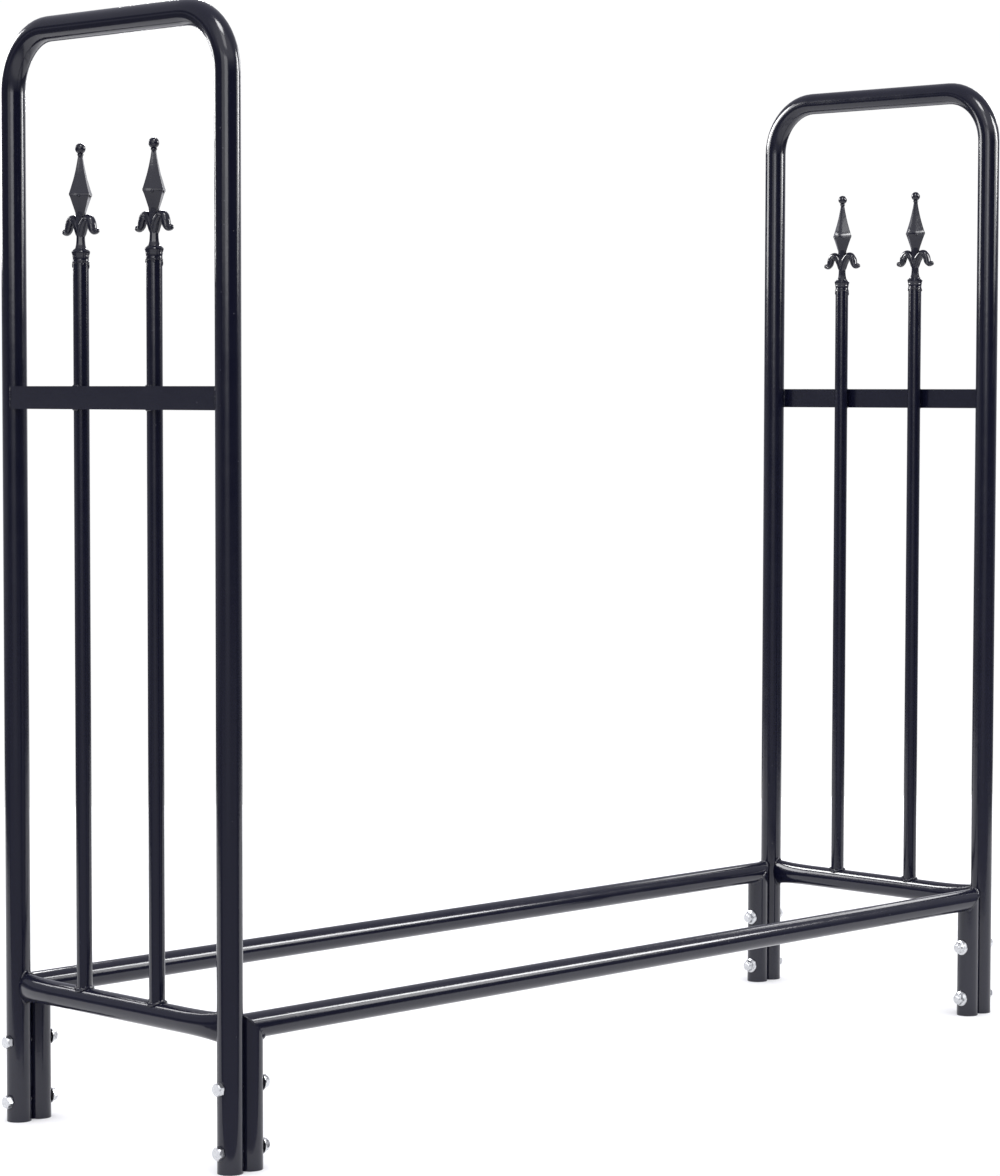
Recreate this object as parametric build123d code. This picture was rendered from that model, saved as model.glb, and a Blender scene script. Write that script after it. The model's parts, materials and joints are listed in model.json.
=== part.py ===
from build123d import *

import os

# Firewood log rack: two welded end frames joined by two bolted-on side rails.
# Millimetres. +X runs along the rack, +Y to its back, +Z up. The origin is on
# the floor, under the middle of the rack.

# --- driving dimensions -------------------------------------------------------

END_SPACING = 1200.0        # one hoop's plane to the other's
UPRIGHT_SPACING = 332.0     # front upright's axis to the back upright's
HEIGHT = 1125.0             # floor to the top of the hoop

TUBE_D = 25.4               # hoops, cross tubes, rails and legs (1 in tube)
TUBE_WALL = 1.2
HOOP_BEND_R = 60.0          # of the tube's centre line

LOW_TUBE_Z = 139.5          # axis height of the cross tubes and the rails
FLAT_END = (11.0, 33.0)     # thickness and height of a cross tube's flattened end
FLAT_LENGTH = 58.0          # how far the flattening runs in from the upright

BAR_D = 15.9                # upright bars of the end frames (5/8 in tube)
BAR_WALL = 1.2
BAR_SPACING = 114.0
BAR_TOP_Z = 879.0

STRIP_SECTION = (3.0, 23.0)  # flat bar across the outside of the upright bars
STRIP_Z = 744.2

BOLT_D = 8.0                # M8 x 60
BOLT_LENGTH = 60.0
BOLT_HEAD = (12.0, 5.3)     # across flats, height
BOLT_Z = (21.0, 83.0)
HOLE_D = 9.0
NUT_FLATS = 12.0
NUT_HEIGHT = 8.0
NUT_FLANGE = (17.4, 1.3)    # diameter, rim thickness
FLANGE_CONE = 1.6           # height of the slope from the flange's rim to the flats
BOLT_TIP_CHAMFER = 0.8
CORNER_CUT = 0.3            # how far a hexagon's top face is inside its flats
FIRST_TURN, NEXT_TURN = 17, 23   # degrees, of one fastener after another

# --- derived dimensions -------------------------------------------------------

TUBE_R = TUBE_D / 2
BAR_R = BAR_D / 2
END_X = END_SPACING / 2
SIDE_Y = UPRIGHT_SPACING / 2
LEG_X = END_X - TUBE_D                  # the leg touches the upright
BAR_Y = BAR_SPACING / 2

LEFT, RIGHT = -1, 1
FRONT, BACK = -1, 1
ENDS = {"left": LEFT, "right": RIGHT}
SIDES = {"front": FRONT, "back": BACK}


def export(name, shape):
    """Writes one sub-part to parts/NAME.step."""
    export_step(shape, f"parts/{name}.step")


def rod(start, end, radius):
    """A solid round rod from one point to another."""
    path = Line(start, end)
    return sweep(Plane(start, z_dir=path % 0) * Circle(radius), path=path)


def pipe(start, end, diameter, wall):
    """A straight round tube from one point to another."""
    return rod(start, end, diameter / 2) - rod(start, end, diameter / 2 - wall)


# --- end frames -----------------------------------------------------------------

def bolt_holes(x_from, x_to, y):
    """Drills for both bolts of one corner, along X."""
    return [rod((x_from, y, z), (x_to, y, z), HOLE_D / 2) for z in BOLT_Z]


def hoop(end):
    """One tube, bent twice: two uprights and the bridge over them."""
    x = end * END_X
    bridge_z = HEIGHT - TUBE_R
    bend_z = bridge_z - HOOP_BEND_R
    bend_y = SIDE_Y - HOOP_BEND_R
    reach = HOOP_BEND_R * 0.5 ** 0.5
    path = Wire([
        Line((x, -SIDE_Y, 0), (x, -SIDE_Y, bend_z)),
        ThreePointArc((x, -SIDE_Y, bend_z), (x, -bend_y - reach, bend_z + reach),
                      (x, -bend_y, bridge_z)),
        Line((x, -bend_y, bridge_z), (x, bend_y, bridge_z)),
        ThreePointArc((x, bend_y, bridge_z), (x, bend_y + reach, bend_z + reach),
                      (x, SIDE_Y, bend_z)),
        Line((x, SIDE_Y, bend_z), (x, SIDE_Y, 0)),
    ])
    foot = Plane((x, -SIDE_Y, 0), z_dir=(0, 0, 1))
    tube = sweep(foot * Circle(TUBE_R), path=path)
    tube -= sweep(foot * Circle(TUBE_R - TUBE_WALL), path=path)
    for y in (-SIDE_Y, SIDE_Y):
        tube -= bolt_holes(x - TUBE_D, x + TUBE_D, y)
    return tube


def cross_tube_form(end, inset):
    """Outer (inset 0) or inner form of a cross tube: round, with flattened ends."""
    radius = TUBE_R - inset
    thin, tall = FLAT_END[0] / 2 - inset, FLAT_END[1] / 2 - inset
    # Share of the flattening at shares of the way out to the upright's axis.
    steps = ((0.0, 0.0), (0.12, 0.0), (0.35, 0.07), (0.6, 0.27), (0.82, 0.66), (1.0, 1.0))
    round_y = SIDE_Y - TUBE_R - FLAT_LENGTH
    x = end * END_X
    form = rod((x, -round_y, LOW_TUBE_Z), (x, round_y, LOW_TUBE_Z), radius)
    for side in (FRONT, BACK):
        sections = []
        for way, share in steps:
            y = side * (round_y + way * (SIDE_Y - round_y))
            section = Ellipse(radius + share * (thin - radius), radius + share * (tall - radius))
            sections.append(Plane((x, y, LOW_TUBE_Z), x_dir=(1, 0, 0), z_dir=(0, side, 0)) * section)
        form += loft(sections)
    return form


def uprights_form(end):
    """Solid rods where a hoop's two uprights are, for fitting parts to them."""
    x = end * END_X
    return [rod((x, y, 0), (x, y, HEIGHT), TUBE_R) for y in (-SIDE_Y, SIDE_Y)]


def cross_tube(end):
    """Lower tube between the uprights, its flattened ends coped to fit them."""
    tube = cross_tube_form(end, 0) - cross_tube_form(end, TUBE_WALL) - uprights_form(end)
    return tube.solids().sort_by(lambda s: s.volume)[-1]


def flat_bar(end):
    """Flat strip across the outside of the upright bars, coped to the uprights."""
    thick, tall = STRIP_SECTION
    x = end * (END_X + BAR_R + thick / 2)
    strip = Pos(x, 0, STRIP_Z) * Box(thick, UPRIGHT_SPACING, tall) - uprights_form(end)
    return strip.solids().sort_by(lambda s: s.volume)[-1]


def upright_bar(end, side):
    """Bar that stands on the cross tube, coped over it, with an open top."""
    x, y = end * END_X, side * BAR_Y
    bar = pipe((x, y, LOW_TUBE_Z), (x, y, BAR_TOP_Z), BAR_D, BAR_WALL)
    return bar - rod((x, y - TUBE_D, LOW_TUBE_Z), (x, y + TUBE_D, LOW_TUBE_Z), TUBE_R)


# --- finial ---------------------------------------------------------------------
# Heights here are from the bar's top end.

SPIGOT_LENGTH = 14.0
COLLAR = ((0, 7.95), (4.5, 8.1), (8.8, 9.2), (10.2, 9.2), (12.6, 6.2))    # height, radius
STEM = ((12.6, 6.2), (18.0, 4.8), (26.0, 4.4), (48.5, 5.4))
SPEAR_BASE_Z, SPEAR_WIDE_Z, SPEAR_NECK_Z = 46.0, 67.0, 105.0
SPEAR_WIDE = (14.1, 15.7)       # half-diagonals across and along the end frame
SPEAR_BASE = (6.0, 6.8)
SPEAR_NECK = (2.8, 3.0)
SPEAR_FOLD = 0.46               # 0.5 would leave the sides flat
SPEAR_BAND = 1.8                # height of the band round the widest place
NECK_R = 2.6
BALL_Z, BALL_R = 111.8, 5.3
# Centre line of a leaf: distance along the end frame from the stem's axis, height.
LEAF = ((0, 25.5), (4.2, 34.5), (10.2, 40.6), (15.2, 40.0),
        (17.7, 36.0), (19.0, 31.8), (21.2, 29.4), (23.7, 29.4))
LEAF_R = 3.9
LEAF_TIP_R = 4.1


def spear_section(z, half):
    """Four-cornered section whose sides are slightly folded in at the middle."""
    across, along = half
    fold = SPEAR_FOLD
    points = [(across, 0), (across * fold, along * fold), (0, along), (-across * fold, along * fold),
              (-across, 0), (-across * fold, -along * fold), (0, -along), (across * fold, -along * fold)]
    return Plane.XY.offset(z) * make_face(Polyline(*points, close=True))


def leaf(side):
    """Curled leaf: out of the stem, over, down and up again to a rounded tip."""
    path = Spline(*[(0, side * y, z) for y, z in LEAF])
    curl = sweep(Plane(path @ 0, z_dir=path % 0) * Circle(LEAF_R), path=path)
    return curl + Pos(path @ 1) * Sphere(LEAF_TIP_R)


def finial():
    """Cast spear point with two curled leaves, a collar and a spigot."""
    spigot_r = BAR_R - BAR_WALL
    profile = [(0, -SPIGOT_LENGTH), (spigot_r, -SPIGOT_LENGTH), (spigot_r, 0)]
    profile += [(radius, z) for z, radius in COLLAR + STEM[1:]] + [(0, STEM[-1][0])]
    body = revolve(Plane.XZ * make_face(Polyline(*profile, close=True)), axis=Axis.Z)
    body += [leaf(FRONT), leaf(BACK)]

    band_low = SPEAR_WIDE_Z - SPEAR_BAND / 2
    band_high = SPEAR_WIDE_Z + SPEAR_BAND / 2
    levels = [(SPEAR_BASE_Z, SPEAR_BASE), (band_low, SPEAR_WIDE),
              (band_high, SPEAR_WIDE), (SPEAR_NECK_Z, SPEAR_NECK)]
    for lower, upper in zip(levels, levels[1:]):
        body += loft([spear_section(*lower), spear_section(*upper)], ruled=True)

    body += rod((0, 0, SPEAR_NECK_Z - 1), (0, 0, BALL_Z), NECK_R)
    body += Pos(0, 0, BALL_Z) * Sphere(BALL_R)
    return body


# --- side rails -----------------------------------------------------------------

def mitre_plane(end):
    """Plane of the joint between a rail and its leg, its normal on the rail's side."""
    outer_x, inner_x = end * (LEG_X + TUBE_R), end * (LEG_X - TUBE_R)
    return Plane((outer_x, 0, LOW_TUBE_Z + TUBE_R), z_dir=(inner_x - outer_x, 0, TUBE_D))


def rail(side):
    """Long tube under the logs, its ends cut at an angle to meet the legs."""
    y = side * SIDE_Y
    reach = LEG_X + TUBE_R
    tube = pipe((-reach, y, LOW_TUBE_Z), (reach, y, LOW_TUBE_Z), TUBE_D, TUBE_WALL)
    for end in (LEFT, RIGHT):
        tube = split(tube, bisect_by=mitre_plane(end), keep=Keep.TOP)
    return tube


def leg(end, side):
    """Short tube down to the floor, bolted to the inside of an upright."""
    x, y = end * LEG_X, side * SIDE_Y
    tube = pipe((x, y, 0), (x, y, LOW_TUBE_Z + TUBE_D), TUBE_D, TUBE_WALL)
    tube = split(tube, bisect_by=mitre_plane(end), keep=Keep.BOTTOM)
    return tube - bolt_holes(x - TUBE_D, x + TUBE_D, y)


# --- fasteners ------------------------------------------------------------------

def hexagon(across_flats, height):
    """Hexagonal block standing on z = 0, its top corners rounded off."""
    block = extrude(RegularPolygon(across_flats / 2, 6, major_radius=False), height)
    corner_r = across_flats / 3 ** 0.5
    trim = Cone(corner_r + height, across_flats / 2 - CORNER_CUT, height * 2,
                align=(Align.CENTER, Align.CENTER, Align.MIN))
    return block & Pos(0, 0, -height) * trim


def hex_bolt():
    """Bolt along +Z, with the underside of its head at z = 0."""
    head = Rot(180, 0, 0) * hexagon(*BOLT_HEAD)
    shank = Cylinder(BOLT_D / 2, BOLT_LENGTH, align=(Align.CENTER, Align.CENTER, Align.MIN))
    tip = shank.edges().filter_by(GeomType.CIRCLE).sort_by(Axis.Z)[-1]
    return head + chamfer(tip, BOLT_TIP_CHAMFER)


def flange_nut():
    """Nut along +Z, with the face of its flange at z = 0."""
    wide, rim = NUT_FLANGE
    base = (Align.CENTER, Align.CENTER, Align.MIN)
    nut = hexagon(NUT_FLATS, NUT_HEIGHT) + Cylinder(wide / 2, rim, align=base)
    nut += Pos(0, 0, rim) * Cone(wide / 2, NUT_FLATS / 2, FLANGE_CONE, align=base)
    return nut - Cylinder(BOLT_D / 2, NUT_HEIGHT * 3)


def fasteners(piece, distance):
    """Eight copies along the rack's ends, each turned as its wrench left it."""
    placed = []
    for end in (LEFT, RIGHT):
        inward = Plane((0, 0, 0), x_dir=(0, 1, 0), z_dir=(-end, 0, 0))
        for side in (FRONT, BACK):
            for z in BOLT_Z:
                turn = FIRST_TURN + NEXT_TURN * len(placed)
                spot = Pos(end * distance, side * SIDE_Y, z)
                placed.append(spot * inward.location * Rot(0, 0, turn) * piece)
    return Compound(children=placed)


# --- write every sub-part ---------------------------------------------------------

os.makedirs("parts", exist_ok=True)

spear_point = finial()
for end_name, end in ENDS.items():
    export(f"{end_name}_end_hoop", hoop(end))
    export(f"{end_name}_end_cross_tube", cross_tube(end))
    export(f"{end_name}_end_flat_bar", flat_bar(end))
    for side_name, side in SIDES.items():
        export(f"{end_name}_end_{side_name}_bar", upright_bar(end, side))
        seat = Pos(end * END_X, side * BAR_Y, BAR_TOP_Z)
        export(f"{end_name}_end_{side_name}_finial", seat * spear_point)
        export(f"{side_name}_rail_{end_name}_leg", leg(end, side))

for side_name, side in SIDES.items():
    export(f"{side_name}_rail", rail(side))

export("hex_bolts", fasteners(hex_bolt(), END_X + TUBE_R))
export("flange_nuts", fasteners(flange_nut(), LEG_X - TUBE_R))
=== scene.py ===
import json
import math
import random

import bmesh
import bpy
from mathutils import Matrix, Vector, noise as ripple


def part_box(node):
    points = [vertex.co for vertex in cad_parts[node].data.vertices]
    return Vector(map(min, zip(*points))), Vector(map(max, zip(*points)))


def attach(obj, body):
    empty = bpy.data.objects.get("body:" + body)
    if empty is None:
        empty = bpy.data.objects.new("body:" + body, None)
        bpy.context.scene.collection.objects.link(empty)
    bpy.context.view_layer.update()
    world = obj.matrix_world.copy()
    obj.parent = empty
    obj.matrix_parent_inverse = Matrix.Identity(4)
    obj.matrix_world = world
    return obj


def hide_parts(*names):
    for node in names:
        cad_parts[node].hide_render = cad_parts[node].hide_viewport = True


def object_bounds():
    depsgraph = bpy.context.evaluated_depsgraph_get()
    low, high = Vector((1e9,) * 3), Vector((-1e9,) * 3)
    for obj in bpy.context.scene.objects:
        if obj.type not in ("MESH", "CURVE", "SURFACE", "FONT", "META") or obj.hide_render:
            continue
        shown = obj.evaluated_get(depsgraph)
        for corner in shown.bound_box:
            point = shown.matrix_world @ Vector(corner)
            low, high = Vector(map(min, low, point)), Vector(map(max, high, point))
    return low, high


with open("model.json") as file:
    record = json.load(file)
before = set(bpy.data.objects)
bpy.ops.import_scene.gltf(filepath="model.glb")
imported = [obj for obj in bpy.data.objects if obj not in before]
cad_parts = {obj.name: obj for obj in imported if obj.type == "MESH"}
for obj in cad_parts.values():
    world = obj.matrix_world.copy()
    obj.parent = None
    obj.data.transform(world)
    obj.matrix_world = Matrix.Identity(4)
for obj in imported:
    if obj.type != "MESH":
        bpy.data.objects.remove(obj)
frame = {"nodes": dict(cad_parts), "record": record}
cad_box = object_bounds()
nodes = frame["nodes"]
MM = 0.001

LEFT, RIGHT = "left", "right"
FRONT, BACK = "front", "back"
ENDS = {LEFT: -1, RIGHT: 1}
SIDES = {FRONT: -1, BACK: 1}


# --- places and sizes, all from the frame ------------------------------------------

def centre(node):
    low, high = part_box(node)
    return (low + high) / 2


def size(node):
    low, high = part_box(node)
    return high - low


TUBE_R = size("front_rail").y / 2
BAR_R = size("left_end_front_bar").x / 2
END_X = centre("right_end_hoop").x
SIDE_Y = size("right_end_hoop").y / 2 - TUBE_R
BAR_Y = centre("right_end_back_bar").y
LEG_X = centre("front_rail_right_leg").x
LOW_TUBE_Z = centre("front_rail").z
BAR_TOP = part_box("left_end_front_bar")[1].z
STRIP_Z = centre("left_end_flat_bar").z
STRIP = size("left_end_flat_bar")


# --- materials ------------------------------------------------------------------------

# Each pair of colours is the darkest and the lightest that a surface shows.
PAINT_COLOURS = (0.0044, 0.0049, 0.0140, 1), (0.0064, 0.0070, 0.0180, 1)
DUST_COLOUR = (0.10, 0.10, 0.11, 1)
ZINC_COLOURS = (0.50, 0.51, 0.52, 1), (0.70, 0.71, 0.73, 1)
FLOOR_COLOURS = (0.915, 0.915, 0.92, 1), (0.93, 0.93, 0.93, 1)
PAINT_ROUGHNESS = (0.11, 0.18)
ZINC_ROUGHNESS = (0.22, 0.38)
# Heights of the bumps, in metres.
PAINT_BUMPS, CAST_BUMPS, ZINC_BUMPS, FLOOR_BUMPS = 0.00006, 0.0002, 0.00006, 0.00005


def node_tree(name):
    """A new material with an empty node tree."""
    material = bpy.data.materials.new(name)
    material.use_nodes = True
    tree = material.node_tree
    tree.nodes.clear()
    return material, tree


def add(tree, kind, **values):
    """A node with its properties set, and its inputs too where the key names one."""
    node = tree.nodes.new(kind)
    for key, value in values.items():
        if key in node.inputs:
            node.inputs[key].default_value = value
        else:
            setattr(node, key, value)
    return node


def noise(tree, coords, scale, detail=3.0, roughness=0.5):
    """Cloudy values around 0.5, the finer the larger the scale."""
    node = add(tree, "ShaderNodeTexNoise", Scale=scale, Detail=detail, Roughness=roughness)
    tree.links.new(coords, node.inputs["Vector"])
    return node.outputs["Fac"]


def remap(tree, value, low, high, to_low, to_high):
    """value from low..high to to_low..to_high, clamped."""
    node = tree.nodes.new("ShaderNodeMapRange")
    tree.links.new(value, node.inputs["Value"])
    for key, number in zip(("From Min", "From Max", "To Min", "To Max"), (low, high, to_low, to_high)):
        node.inputs[key].default_value = number
    return node.outputs["Result"]


def mix_colour(tree, factor, first, second):
    """From the first colour at factor 0 to the second at 1."""
    node = tree.nodes.new("ShaderNodeMix")
    node.data_type = "RGBA"
    tree.links.new(factor, node.inputs["Factor"])
    for socket, value in (("A", first), ("B", second)):
        inputs = [i for i in node.inputs if i.name == socket and i.type == "RGBA"]
        if isinstance(value, tuple):
            inputs[0].default_value = value
        else:
            tree.links.new(value, inputs[0])
    return [o for o in node.outputs if o.type == "RGBA"][0]


def math_node(tree, operation, first, second):
    """A sum on two values, each a number or another node's output."""
    node = tree.nodes.new("ShaderNodeMath")
    node.operation = operation
    for socket, value in zip(node.inputs, (first, second)):
        if isinstance(value, (int, float)):
            socket.default_value = value
        else:
            tree.links.new(value, socket)
    return node.outputs[0]


def finish(tree, shader, bump_height, bump_distance):
    """Gives the shader its bumps and makes it the material's surface."""
    bump = add(tree, "ShaderNodeBump", Strength=1.0, Distance=bump_distance)
    tree.links.new(bump_height, bump.inputs["Height"])
    tree.links.new(bump.outputs["Normal"], shader.inputs["Normal"])
    output = tree.nodes.new("ShaderNodeOutputMaterial")
    tree.links.new(shader.outputs[0], output.inputs["Surface"])


def painted_steel(name, bumps):
    """Glossy black paint: orange peel over broader lumps, faint clouds and dust specks."""
    material, tree = node_tree(name)
    coords = tree.nodes.new("ShaderNodeTexCoord").outputs["Object"]
    clouds = noise(tree, coords, 9.0, 4.0)
    peel = noise(tree, coords, 420.0, 2.0)
    lumps = noise(tree, coords, 75.0, 2.0)
    specks = add(tree, "ShaderNodeTexVoronoi", Scale=95.0, Randomness=1.0)
    tree.links.new(coords, specks.inputs["Vector"])
    dusty_patches = remap(tree, noise(tree, coords, 3.1, 2.0), 0.56, 0.66, 0.0, 1.0)
    dust = remap(tree, specks.outputs["Distance"], 0.035, 0.075, 1.0, 0.0)
    dust = math_node(tree, "MULTIPLY", dust, dusty_patches)

    shader = add(tree, "ShaderNodeBsdfPrincipled", IOR=1.5)
    base = mix_colour(tree, clouds, *PAINT_COLOURS)
    base = mix_colour(tree, dust, base, DUST_COLOUR)
    tree.links.new(base, shader.inputs["Base Color"])
    smears = noise(tree, coords, 38.0, 5.0, 0.6)
    tree.links.new(remap(tree, smears, 0.3, 0.7, *PAINT_ROUGHNESS), shader.inputs["Roughness"])
    height = math_node(tree, "MULTIPLY_ADD", peel, 0.35)
    tree.links.new(lumps, height.node.inputs[2])
    finish(tree, shader, height, bumps)
    return material


def zinc(name):
    """Bright zinc plate with faint cloudy patches and fine tool marks."""
    material, tree = node_tree(name)
    coords = tree.nodes.new("ShaderNodeTexCoord").outputs["Object"]
    clouds = noise(tree, coords, 260.0, 4.0)
    tool_marks = noise(tree, coords, 2400.0, 3.0)
    shader = add(tree, "ShaderNodeBsdfPrincipled", Metallic=1.0)
    tree.links.new(mix_colour(tree, clouds, *ZINC_COLOURS), shader.inputs["Base Color"])
    tree.links.new(remap(tree, clouds, 0.3, 0.7, *ZINC_ROUGHNESS), shader.inputs["Roughness"])
    finish(tree, shader, tool_marks, ZINC_BUMPS)
    return material


def floor_material():
    """Plain, pale and matt."""
    material, tree = node_tree("pale_floor")
    coords = tree.nodes.new("ShaderNodeTexCoord").outputs["Object"]
    shader = add(tree, "ShaderNodeBsdfPrincipled", Roughness=0.9)
    shader.inputs["Specular IOR Level"].default_value = 0.1
    tree.links.new(mix_colour(tree, noise(tree, coords, 2.0), *FLOOR_COLOURS), shader.inputs["Base Color"])
    finish(tree, shader, noise(tree, coords, 300.0), FLOOR_BUMPS)
    return material


BLACK = painted_steel("black_powder_coat", PAINT_BUMPS)
CAST_BLACK = painted_steel("cast_black_finish", CAST_BUMPS)
ZINC = zinc("zinc_hardware")


def coat_cad_nodes():
    """Each CAD node gets the material that its slot in the record asks for."""
    by_slot = {"black_powder_coat": BLACK, "cast_black_finish": CAST_BLACK, "zinc_hardware": ZINC}
    for part in frame["record"]["subparts"]:
        data = nodes[part["node"]].data
        data.materials.clear()
        data.materials.append(by_slot[part["material_slot"]])
        for polygon in data.polygons:
            polygon.material_index = 0


coat_cad_nodes()


# --- mesh pieces ----------------------------------------------------------------------

def skin(mesh, rings, closed=False):
    """Faces through rings of points: a capped sleeve, or a closed loop of rings."""
    loops = [[mesh.verts.new(point) for point in ring] for ring in rings]
    pairs = list(zip(loops, loops[1:]))
    if closed:
        pairs.append((loops[-1], loops[0]))
    else:
        mesh.faces.new(list(reversed(loops[0])))
        mesh.faces.new(loops[-1])
    for low, high in pairs:
        for i, vertex in enumerate(low):
            j = (i + 1) % len(low)
            mesh.faces.new((vertex, low[j], high[j], high[i]))


def lathe(mesh, profile, sides, start=0.0):
    """A solid of revolution about Z through (height, radius) pairs."""
    turns = [start + math.tau * i / sides for i in range(sides)]
    skin(mesh, [[Vector((r * math.cos(t), r * math.sin(t), z)) for t in turns] for z, r in profile])


def smooth_path(points, steps):
    """Points on a smooth curve through the given ones, steps to each stretch."""
    points = [Vector(p) for p in points]
    padded = [2 * points[0] - points[1]] + points + [2 * points[-1] - points[-2]]
    path = []
    for a, b, c, d in zip(padded, padded[1:], padded[2:], padded[3:]):
        for i in range(steps):
            t = i / steps
            path.append(0.5 * (2 * b + (c - a) * t + (2 * a - 5 * b + 4 * c - d) * t ** 2
                               + (3 * b - a - 3 * c + d) * t ** 3))
    return path + [points[-1]]


def sweep(mesh, path, across, section, closed=False):
    """Carries section(share of the way) = [(out, across) offsets] along a path."""
    across = Vector(across)
    rings = []
    for i, point in enumerate(path):
        after = path[(i + 1) % len(path)] if closed or i + 1 < len(path) else point
        before = path[i - 1] if closed or i else point
        out = (after - before).cross(across).normalized()
        side = out.cross(after - before).normalized()
        rings.append([point + out * u + side * v for u, v in section(i / (len(path) - 1))])
    skin(mesh, rings, closed)


def blob(mesh, place, radii, turn=Matrix.Identity(4)):
    """An egg shape with the given radii, turned and then put in its place."""
    bmesh.ops.create_uvsphere(mesh, u_segments=14, v_segments=8, radius=1.0,
                              matrix=Matrix.Translation(place) @ turn @ Matrix.Diagonal((*radii, 1)))


def weld(mesh, path, across, radius, dice, closed=False):
    """A weld bead: a rippled, half-buried cord of metal with nine sides."""
    phase, swell = dice.random() * 9, 0.0
    sides = 9

    def section(share):
        nonlocal swell
        swell = 0.6 * swell + 0.4 * dice.uniform(-0.22, 0.22)
        ends = 1.0 if closed else min(1.0, 0.35 + 5 * min(share, 1 - share))
        r = radius * ends * (1 + swell + 0.10 * math.sin(phase + share * len(path) * 1.9))
        turns = [math.tau * i / sides for i in range(sides)]
        return [(r * math.cos(t), r * math.sin(t)) for t in turns]

    sweep(mesh, path, across, section, closed)


def ring_path(count, point_at):
    """A closed path of count points, each point_at(angle)."""
    return [Vector(point_at(math.tau * i / count)) for i in range(count)]


def make_piece(name, mesh, material, place=(0, 0, 0), sharp=38):
    """A bmesh in metres, made into a piece that rides on the rack."""
    bmesh.ops.recalc_face_normals(mesh, faces=mesh.faces)
    data = bpy.data.meshes.new(name)
    mesh.to_mesh(data)
    mesh.free()
    data.materials.append(material)
    for polygon in data.polygons:
        polygon.use_smooth = True
    data.set_sharp_from_angle(angle=math.radians(sharp))
    piece = bpy.data.objects.new(name, data)
    piece.location = place
    bpy.context.scene.collection.objects.link(piece)
    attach(piece, "root")
    return piece


def keep_inside(mesh):
    """Flattens what stands out of the CAD model's box, as a grinder would."""
    low, high = cad_box
    for vertex in mesh.verts:
        for k in range(3):
            vertex.co[k] = min(max(vertex.co[k], low[k]), high[k])


# --- finials --------------------------------------------------------------------------
# Millimetres from the top of the bar, on the bar's axis.

# Height and radius of the round parts.
COLLAR = ((-3, 7.2), (-0.6, 7.9), (0.8, 8.2), (1.6, 8.0), (4.2, 8.1), (5.2, 8.5), (6.0, 8.3),
          (8.2, 8.95), (8.9, 9.2), (9.9, 9.2), (10.6, 8.8), (12.2, 6.9), (12.8, 6.7), (13.2, 5.6))
STEM = ((12.4, 6.3), (14, 5.6), (17, 4.9), (21, 4.5), (26, 4.4), (34, 4.6), (42, 5.0), (49, 5.5))
NECK = ((102, 2.2), (104.6, 2.5), (105.4, 3.2), (106.2, 3.2), (107.2, 2.6))
# Height, then half-diagonals across and along the end frame.
SPEAR = ((45.5, 5.6, 6.3), (50, 7.3, 8.1), (55, 9.2, 10.3), (60, 11.2, 12.5), (64.6, 13.2, 14.7),
         (65.3, 13.95, 15.5), (67.4, 14.05, 15.6), (68.0, 13.5, 15.0), (74, 11.3, 12.5),
         (82, 8.5, 9.4), (90, 6.2, 6.8), (98, 4.2, 4.6), (104.6, 2.9, 3.1))
SPEAR_FOLD = (0.45, 0.44)       # of the lower and the upper sides; 0.5 is flat
SPEAR_WIDE_Z = 67
SPEAR_TURNS = {LEFT: (-5.0, -5.5), RIGHT: (-2.5, -3.5)}     # degrees; no two castings are quite alike
CORNER_CUT, CORNER_CUT_SHARE = 1.1, 0.16    # the corners' rounding, at most and as a share of the width
BOSS_Z, BOSS_OUT, BOSS_RADII = 64.8, 9.4, (1.3, 1.8, 1.4)
BALL_Z, BALL_R = 111.8, 5.3
# Distance from the stem and height along a leaf, then its half-thickness and half-width there.
LEAF = ((0, 21.5), (1.6, 28.0), (4.8, 36.0), (9.9, 42.0), (14.9, 41.4), (17.6, 36.8), (19.0, 32.2),
        (21.2, 29.4), (23.6, 29.4), (24.9, 29.8))
LEAF_THICK = (2.6, 3.9, 4.3, 4.1, 4.2, 4.3, 3.9, 3.1, 3.0, 2.9)
LEAF_WIDE = (2.8, 4.7, 5.3, 4.7, 4.4, 4.6, 4.4, 3.8, 3.5, 3.2)
FRONT_LEAF_WIDER = 1.09
# The leaf's tip: distance past its end, and share of its size there.
TIP_ROUNDING = ((0.9, 0.94), (1.7, 0.80), (2.4, 0.55), (2.8, 0.22))
GROOVE_TURNS, GROOVE_SPREAD, GROOVE_DEPTH = (98, 262), 13, 0.24     # degrees, degrees, share
CAST_GRAIN, CAST_ROUGHNESS = 5.5, 0.13      # size of the casting's unevenness, and its depth
WORN_EDGE, SHARP_EDGE_ANGLE = 0.22, 26


def between(values, share):
    """The value at a share of the way along a list, in a straight line between its members."""
    at = share * (len(values) - 1)
    i = min(int(at), len(values) - 2)
    return values[i] + (values[i + 1] - values[i]) * (at - i)


def leaf_section(thick, wide):
    """A rib's round section with a groove along both of its broad faces."""
    points, sides = [], 28
    for i in range(sides):
        t = math.tau * i / sides
        groove = sum(math.exp(-((math.degrees(t) - at) / GROOVE_SPREAD) ** 2) for at in GROOVE_TURNS)
        r = 1 - GROOVE_DEPTH * groove
        points.append((-thick * r * math.cos(t), wide * r * math.sin(t)))
    return points


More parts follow.
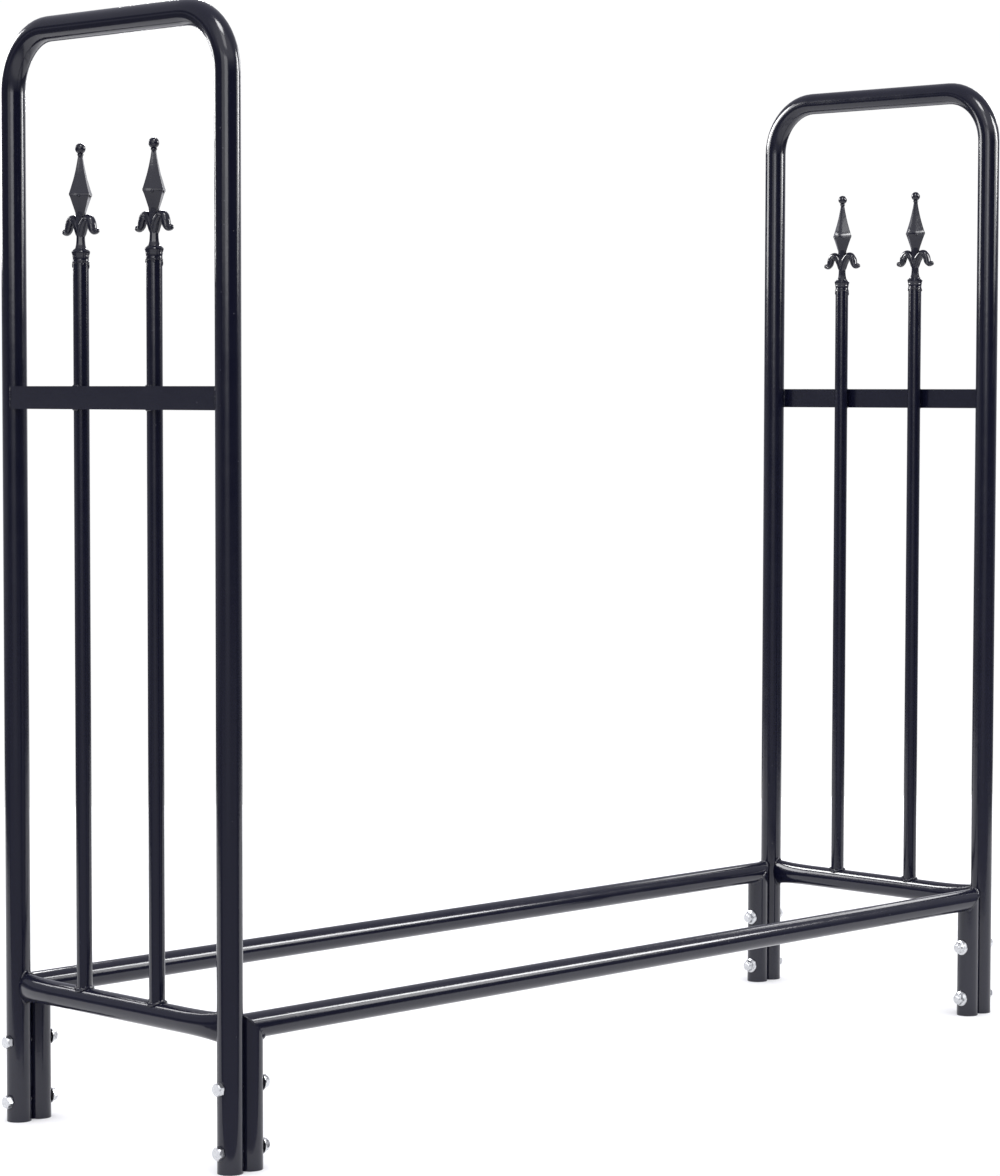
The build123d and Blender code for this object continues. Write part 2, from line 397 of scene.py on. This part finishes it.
def leaf(mesh, side):
    """A leaf that springs from the stem, arches over and flicks out to a rounded tip."""
    path = smooth_path([(0, side * y, z) for y, z in LEAF], 7)
    last = (path[-1] - path[-2]).normalized()
    body = len(path)
    path += [path[-1] + last * beyond for beyond, _ in TIP_ROUNDING]
    wider = FRONT_LEAF_WIDER if side == SIDES[FRONT] else 1.0

    def section(share):
        i = round(share * (len(path) - 1))
        way = min(i / (body - 1), 1)
        size_now = 1.0 if i < body else TIP_ROUNDING[i - body][1]
        points = leaf_section(between(LEAF_THICK, way) * size_now,
                              between(LEAF_WIDE, way) * size_now * wider)
        return [(u * side, v) for u, v in points]

    sweep(mesh, path, (1, 0, 0), section)


def spear(mesh, turn):
    """Four-cornered point whose sides are folded in along the middle, with a boss on each."""
    spin = Matrix.Rotation(math.radians(turn), 4, "Z")
    rings = []
    for z, across, along in SPEAR:
        axis = Vector((0, 0, z))
        fold = SPEAR_FOLD[z > SPEAR_WIDE_Z]
        corners = [Vector(p) for p in ((across, 0, z), (0, along, z), (-across, 0, z), (0, -along, z))]
        folds = [axis + (a + b - 2 * axis) * fold for a, b in zip(corners, corners[1:] + corners[:1])]
        ring = []
        for i, corner in enumerate(corners):
            before, after = folds[i - 1], folds[i]
            cut = min(CORNER_CUT, across * CORNER_CUT_SHARE) / (corner - after).length
            ring += [corner.lerp(before, cut), corner.lerp((before + after) / 2, cut * 0.4),
                     corner.lerp(after, cut), corner.lerp(after, 0.6), after]
        rings.append([spin @ p for p in ring])
    skin(mesh, rings)
    for quarter in range(4):
        way = Matrix.Rotation(math.radians(turn + 45 + 90 * quarter), 4, "Z")
        blob(mesh, way @ Vector((BOSS_OUT, 0, BOSS_Z)), BOSS_RADII, way)


def finial(name, node, place, turn, seed):
    """A cast finial in place of the CAD model's plainer one."""
    ripple.seed_set(seed)
    mesh = bmesh.new()
    lathe(mesh, COLLAR, 44)
    lathe(mesh, STEM, 8, math.radians(22.5))
    for side in SIDES.values():
        leaf(mesh, side)
    spear(mesh, turn)
    lathe(mesh, NECK, 20)
    bmesh.ops.create_uvsphere(mesh, u_segments=28, v_segments=18, radius=BALL_R,
                              matrix=Matrix.Translation((0, 0, BALL_Z)))
    for vertex in mesh.verts:
        rough = ripple.noise_vector(vertex.co / CAST_GRAIN + Vector((0, 0, 40 * seed)))
        vertex.co = (vertex.co + rough * CAST_ROUGHNESS) * MM
    piece = make_piece(name, mesh, CAST_BLACK, place, SHARP_EDGE_ANGLE)
    edges = piece.modifiers.new("worn_edges", "BEVEL")
    edges.width, edges.segments, edges.limit_method = WORN_EDGE * MM, 2, "ANGLE"
    edges.angle_limit = math.radians(SHARP_EDGE_ANGLE)
    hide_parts(node)


def finials():
    seed = 0
    for end, sign in ENDS.items():
        for (side, way), turn in zip(SIDES.items(), SPEAR_TURNS[end]):
            seed += 1
            place = (sign * END_X, way * BAR_Y, BAR_TOP)
            finial(f"cast_finial_{end}_{side}", f"{end}_end_{side}_finial", place, turn, seed)


# --- welds ----------------------------------------------------------------------------

# Radii of the beads.
CROSS_TUBE_BEAD, BAR_FOOT_BEAD, UNDER_FINIAL_BEAD = 1.8 * MM, 2.2 * MM, 0.75 * MM
STRIP_END_BEADS = (1.5 * MM, 1.1 * MM)      # on the flat bar's inner and outer face
BAR_AND_STRIP_BEAD, MITRE_BEAD = 1.2 * MM, 1.25 * MM
# How deep the beads' middles lie below the surface, or how far above it.
CROSS_TUBE_SINK, BAR_FOOT_RISE, MITRE_SINK = 0.2 * MM, 0.5 * MM, 0.25 * MM
UNDER_FINIAL_DROP, STRIP_END_SINK = 0.6 * MM, 0.1 * MM
# Half-width and half-height of the cross tube's flattened ends.
FLAT_END_WIDE, FLAT_END_TALL = 5.7 * MM, 16.2 * MM


def cross_tube_end_bead(mesh, x, way, dice):
    def on_upright(t):
        u = FLAT_END_WIDE * math.cos(t)
        y = way * (SIDE_Y - math.sqrt(TUBE_R ** 2 - u * u) - CROSS_TUBE_SINK)
        return x + u, y, LOW_TUBE_Z + FLAT_END_TALL * math.sin(t)
    weld(mesh, ring_path(76, on_upright), (0, 1, 0), CROSS_TUBE_BEAD, dice, closed=True)


def bar_foot_bead(mesh, x, way, dice):
    def on_cross_tube(t):
        u, v = BAR_R * math.cos(t), BAR_R * math.sin(t)
        z = LOW_TUBE_Z + math.sqrt(TUBE_R ** 2 - u * u) + BAR_FOOT_RISE
        return x + u, way * BAR_Y + v, z
    weld(mesh, ring_path(54, on_cross_tube), (0, 0, 1), BAR_FOOT_BEAD, dice, closed=True)


def under_finial_bead(mesh, x, way, dice):
    """The thin bead round the top of a bar, with the drips that ran down from it."""
    def on_bar(t, z):
        return x + BAR_R * math.cos(t), way * BAR_Y + BAR_R * math.sin(t), z
    ring = ring_path(44, lambda t: on_bar(t, BAR_TOP - UNDER_FINIAL_DROP))
    weld(mesh, ring, (0, 0, 1), UNDER_FINIAL_BEAD, dice, closed=True)
    for turn in (-52, -118 + dice.uniform(-15, 15), 140, 65):
        t = math.radians(turn)
        drop = dice.uniform(1.2, 3.4) * MM
        blob(mesh, on_bar(t, BAR_TOP - drop - 1.0 * MM), (0.9 * MM, 1.1 * MM, drop),
             Matrix.Rotation(t, 4, "Z"))


def flat_bar_beads(mesh, x, outward, way, dice):
    """Beads up the flat bar's end on the upright, and along both of its edges on a bar."""
    for face, radius in enumerate(STRIP_END_BEADS):
        u = outward * (BAR_R + face * STRIP.x)
        y = way * (SIDE_Y - math.sqrt(TUBE_R ** 2 - u * u) - STRIP_END_SINK)
        path = [Vector((x + u, y, STRIP_Z + STRIP.z * (k / 24 - 0.5))) for k in range(25)]
        weld(mesh, path, (1, 0, 0), radius, dice)
    for edge in (-1, 1):
        z = STRIP_Z + edge * (STRIP.z / 2 + 0.1 * MM)
        near_bar = x + outward * (BAR_R - 0.2 * MM)
        path = [Vector((near_bar, way * BAR_Y + k * 0.5 * MM, z)) for k in range(-9, 10)]
        weld(mesh, path, (1, 0, 0), BAR_AND_STRIP_BEAD, dice)


def end_frame_welds(end):
    """Beads on one end frame: cross tube, bars, flat bar and the rings under the finials."""
    x = ENDS[end] * END_X
    dice = random.Random(f"{end} frame")
    mesh = bmesh.new()
    for way in SIDES.values():
        cross_tube_end_bead(mesh, x, way, dice)
        bar_foot_bead(mesh, x, way, dice)
        under_finial_bead(mesh, x, way, dice)
        flat_bar_beads(mesh, x, ENDS[end], way, dice)
    keep_inside(mesh)
    make_piece(f"welds_{end}_end", mesh, BLACK)


def rail_welds(side):
    """Beads round the angled joints between one rail and its legs, and a fillet inside each."""
    dice = random.Random(f"{side} rail")
    mesh = bmesh.new()
    y = SIDES[side] * SIDE_Y
    for sign in ENDS.values():
        def on_joint(t):
            r = TUBE_R - MITRE_SINK
            return sign * (LEG_X + r * math.cos(t)), y + r * math.sin(t), LOW_TUBE_Z + r * math.cos(t)
        weld(mesh, ring_path(110, on_joint), (-sign, 0, 1), MITRE_BEAD, dice, closed=True)
        corner = Vector((sign * (LEG_X - TUBE_R), y, LOW_TUBE_Z - TUBE_R))
        for k in range(-4, 5):
            t = math.radians(k * 11)
            inward = TUBE_R * (1 - math.cos(t))
            spot = corner + Vector((sign * inward, TUBE_R * math.sin(t), inward))
            r = dice.uniform(1.8, 2.6) * MM
            blob(mesh, spot, (r, r, r * dice.uniform(0.9, 1.3)))
    keep_inside(mesh)
    make_piece(f"welds_{side}_rail", mesh, BLACK)


finials()
for each_end in ENDS:
    end_frame_welds(each_end)
for each_side in SIDES:
    rail_welds(each_side)


# --- fasteners ------------------------------------------------------------------------

FASTENER_EDGE = 0.35 * MM

for fastener in ("hex_bolts", "flange_nuts"):
    soft = nodes[fastener].modifiers.new("rounded_edges", "BEVEL")
    soft.width, soft.segments, soft.limit_method = FASTENER_EDGE, 3, "ANGLE"
    soft.angle_limit = math.radians(25)


# --- floor, light and camera ------------------------------------------------------------

# The floor ends a little in front of the rack, so that the low parts of the
# uprights reflect the dim room on the camera's side. Both look white from above.
TOWARD_ROOM = Vector((-0.616, -0.788, 0))
ALONG_EDGE = Vector((0.788, -0.616, 0))
FLOOR_EDGE, FLOOR_REACH = 0.58, 2.4

# What the paint reflects. Directions first, then brightnesses and colours.
DARKEST_WALL = (-0.438, -0.899, 0)
SIDE_GLOW = (-0.788, -0.616, 0)
BEHIND_LEFT = (-0.62, 0.785, 0)
BRIGHT_WINDOW = (0.899, 0.430, 0.08)
# Brightness of the walls, from opposite the darkest one (-1) to it (1).
WALL_LEVELS = ((-1.0, 0.5), (-0.15, 0.5), (0.11, 0.32), (0.33, 0.11), (0.69, 0.05), (1.0, 0.03))
GLOW_COLOUR = (0.50, 0.50, 0.55, 1)
BAND_COLOUR = (0.13, 0.13, 0.15, 1)
WINDOW_COLOUR = (1.2, 1.2, 1.25, 1)
# Each pair: away from the room, and on the room's side.
CEILING_COLOURS = (0.46, 0.46, 0.51, 1), (1.15, 1.15, 1.2, 1)
LOW_COLOURS = (0.15, 0.15, 0.17, 1), (0.42, 0.42, 0.47, 1)
LOWEST_ROOM_COLOUR = (1.15, 1.15, 1.2, 1)
WHITE = (1, 1, 1, 1)
WORLD_STRENGTH = 1.02

# Name, place, what it points at, direction of its width, width, height, power.
SOFTBOXES = (
    ("right_softbox", (1.22, -1.00, 1.42), (-0.3, 0, 0.15), (0.65, -0.15, -0.22), 0.95, 0.30, 19),
    ("back_softbox", (0.29, 0.955, 1.29), (0.59, 0.02, 0.15), (0.5, 0.75, 0), 0.53, 0.23, 11.5),
    ("far_softbox", (2.38, 0.45, 1.62), (0, 0, 0.6), (0.3, 1, 0), 0.9, 0.5, 6),
    ("left_edge_softbox", (-0.49, 1.72, 1.31), (0.6, 0.17, 1.0), (0.82, 0.57, 0), 0.85, 0.75, 18),
    ("right_edge_softbox", (1.36, -1.56, 1.31), (0.6, 0.17, 1.0), (0.91, 0.4, 0), 0.6, 0.75, 7.5),
    ("front_softbox", (-3.8, -2.85, 1.8), (-0.4, 0, 0.9), (0.6, -0.8, 0), 1.8, 1.7, 32),
    ("left_softbox", (-4.6, -1.2, 1.8), (-0.4, 0, 0.9), (0.2, -1, 0), 2.2, 1.6, 14),
    ("high_softbox", (-1.5, -1.4, 2.5), (0.5, 0, 0.9), (0.7, -0.7, 0), 0.7, 0.7, 5),
    ("ceiling_softbox", (-1.1, -1.1, 3.6), (0, 0, 0.9), (0.7, -0.7, 0), 0.9, 0.9, 44))
SUN_POWER, SUN_SPREAD = 3.0, math.radians(120)

EYE = (-2.6905, -2.5919, 0.7489)
LENS, SENSOR = 102.77, 36.0
LOOK_TURN, LOOK_DOWN, LOOK_ROLL = math.radians(45.38), math.radians(3.31), math.radians(0.118)


def floor():
    mesh = bpy.data.meshes.new("floor")
    corners = [TOWARD_ROOM * u + ALONG_EDGE * v for u, v in (
        (FLOOR_EDGE, -FLOOR_REACH), (FLOOR_EDGE, FLOOR_REACH),
        (-FLOOR_REACH, FLOOR_REACH), (-FLOOR_REACH, -FLOOR_REACH))]
    mesh.from_pydata(corners, [], [(3, 2, 1, 0)])
    plane = bpy.data.objects.new("floor", mesh)
    bpy.context.scene.collection.objects.link(plane)
    mesh.materials.append(floor_material())


def softbox(name, place, target, along, width, height, power):
    """A flat lamp whose width runs along the given direction. It shows in gloss only."""
    lamp = bpy.data.lights.new(name, "AREA")
    lamp.shape = "RECTANGLE"
    lamp.size, lamp.size_y, lamp.energy = width, height, power
    back = (Vector(place) - Vector(target)).normalized()
    down = back.cross(Vector(along)).normalized()
    turn = Matrix((down.cross(back), down, back)).transposed().to_4x4()
    holder = bpy.data.objects.new(name, lamp)
    holder.matrix_world = Matrix.Translation(place) @ turn
    holder.visible_diffuse = False
    holder.visible_camera = False
    bpy.context.scene.collection.objects.link(holder)


def soft_sun():
    """Lights the floor evenly and isn't seen in the paint's gloss."""
    lamp = bpy.data.lights.new("soft_sun", "SUN")
    lamp.energy, lamp.angle = SUN_POWER, SUN_SPREAD
    holder = bpy.data.objects.new("soft_sun", lamp)
    holder.visible_glossy = False
    bpy.context.scene.collection.objects.link(holder)


def dot(tree, vector, direction):
    """1 where the vector points in the direction, 0 across it and -1 opposite to it."""
    node = tree.nodes.new("ShaderNodeVectorMath")
    node.operation = "DOT_PRODUCT"
    tree.links.new(vector, node.inputs[0])
    node.inputs[1].default_value = direction
    return node.outputs["Value"]


def ramp(tree, value, stops):
    """Bluish greys of the given levels at values from -1 to 1, straight lines between them."""
    node = tree.nodes.new("ShaderNodeValToRGB")
    tree.links.new(remap(tree, value, -1, 1, 0, 1), node.inputs["Fac"])
    points = node.color_ramp.elements
    while len(points) < len(stops):
        points.new(0.5)
    for point, (at, level) in zip(points, stops):
        point.position = (at + 1) / 2
        point.color = (level * 0.98, level * 0.99, level * 1.12, 1)
    return node.outputs["Color"]


def world_light():
    """A studio's walls and ceiling as the gloss sees them. The camera sees plain white."""
    world = bpy.data.worlds.new("studio")
    bpy.context.scene.world = world
    world.use_nodes = True
    tree = world.node_tree
    background = tree.nodes["Background"]
    way = tree.nodes.new("ShaderNodeTexCoord").outputs["Generated"]
    up = dot(tree, way, (0, 0, 1))
    room_side = remap(tree, dot(tree, way, TOWARD_ROOM), 0.25, 0.55, 0, 1)

    walls = ramp(tree, dot(tree, way, DARKEST_WALL), WALL_LEVELS)
    glow = remap(tree, dot(tree, way, SIDE_GLOW), 0.90, 1.0, 0, 1)
    walls = mix_colour(tree, glow, walls, GLOW_COLOUR)
    # A dark band low on the wall behind the rack's left.
    band = math_node(tree, "MULTIPLY", remap(tree, up, -0.02, 0.03, 0, 1),
                     remap(tree, up, 0.17, 0.24, 1, 0))
    behind_left = remap(tree, dot(tree, way, BEHIND_LEFT), 0.2, 0.6, 0, 1)
    band = math_node(tree, "MULTIPLY", band, behind_left)
    walls = mix_colour(tree, band, walls, BAND_COLOUR)

    # The walls give way to the ceiling upwards, and to what lies below the floor's level downwards.
    ceiling = mix_colour(tree, room_side, *CEILING_COLOURS)
    seen = mix_colour(tree, remap(tree, up, 0.22, 0.40, 0, 1), walls, ceiling)
    low = mix_colour(tree, room_side, *LOW_COLOURS)
    seen = mix_colour(tree, remap(tree, up, -0.03, -0.12, 0, 1), seen, low)
    lowest = mix_colour(tree, room_side, low, LOWEST_ROOM_COLOUR)
    seen = mix_colour(tree, remap(tree, up, -0.25, -0.45, 0, 1), seen, lowest)
    window = remap(tree, dot(tree, way, BRIGHT_WINDOW), 0.962, 0.985, 0, 1)
    seen = mix_colour(tree, window, seen, WINDOW_COLOUR)

    camera_ray = tree.nodes.new("ShaderNodeLightPath").outputs["Is Camera Ray"]
    tree.links.new(mix_colour(tree, camera_ray, seen, WHITE), background.inputs["Color"])
    background.inputs["Strength"].default_value = WORLD_STRENGTH


def camera():
    """Eye 0.75 m up and 3.7 m from the rack's middle, off its front left corner."""
    across = math.cos(LOOK_DOWN)
    ahead = Vector((math.sin(LOOK_TURN) * across, math.cos(LOOK_TURN) * across, -math.sin(LOOK_DOWN)))
    roll = Matrix.Rotation(LOOK_ROLL, 3, "Z").to_quaternion()
    data = bpy.data.cameras.new("camera")
    data.sensor_width, data.lens = SENSOR, LENS
    data.clip_end = 60
    holder = bpy.data.objects.new("camera", data)
    holder.location = EYE
    holder.rotation_mode = "QUATERNION"
    holder.rotation_quaternion = ahead.to_track_quat("-Z", "Y") @ roll
    bpy.context.scene.collection.objects.link(holder)
    bpy.context.scene.camera = holder


floor()
world_light()
soft_sun()
for lamp_values in SOFTBOXES:
    softbox(*lamp_values)
camera()

bpy.context.scene.view_settings.view_transform = "Standard"
